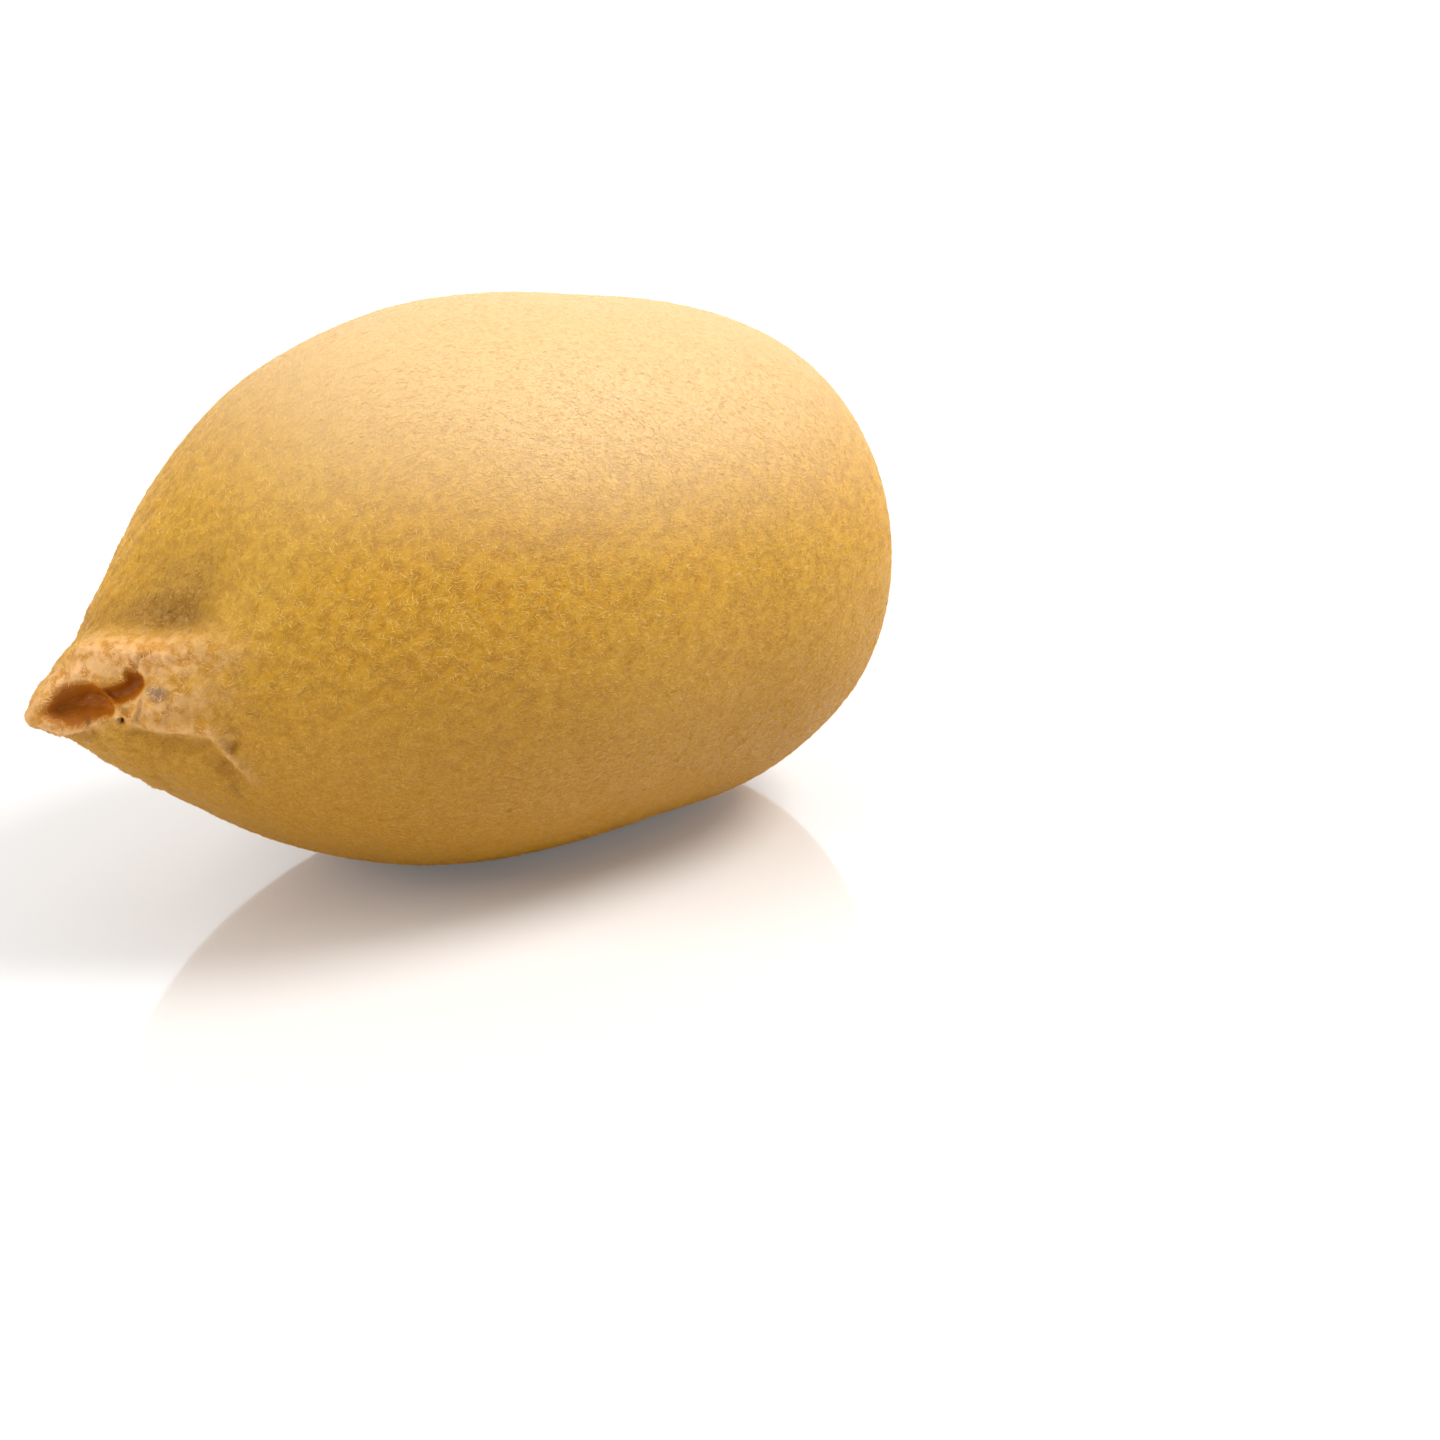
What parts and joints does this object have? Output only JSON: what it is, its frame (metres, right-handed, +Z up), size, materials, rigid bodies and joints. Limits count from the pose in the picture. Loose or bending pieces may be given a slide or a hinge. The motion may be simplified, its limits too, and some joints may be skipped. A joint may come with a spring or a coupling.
{
  "type": "golden kiwi fruit",
  "caption": "Whole golden kiwi fruit lying on its side: a long egg shape with fine matt skin, a drooping folded beak at one end and a blunt stalk end.",
  "frame": {"origin": "under the middle of the fruit's box, on the surface that it lies on", "axes": "+Z up; +X along the fruit from its beak towards its stalk end; -Y the side that shows the hollow in the beak"},
  "size_m": [0.0818, 0.0488, 0.0484],
  "materials": {
    "skin": "matt golden-tan fruit skin with a fine velvety down"
  },
  "bodies": {
    "root": {"kiwi_fruit": "skin"}
  },
  "joints": []
}
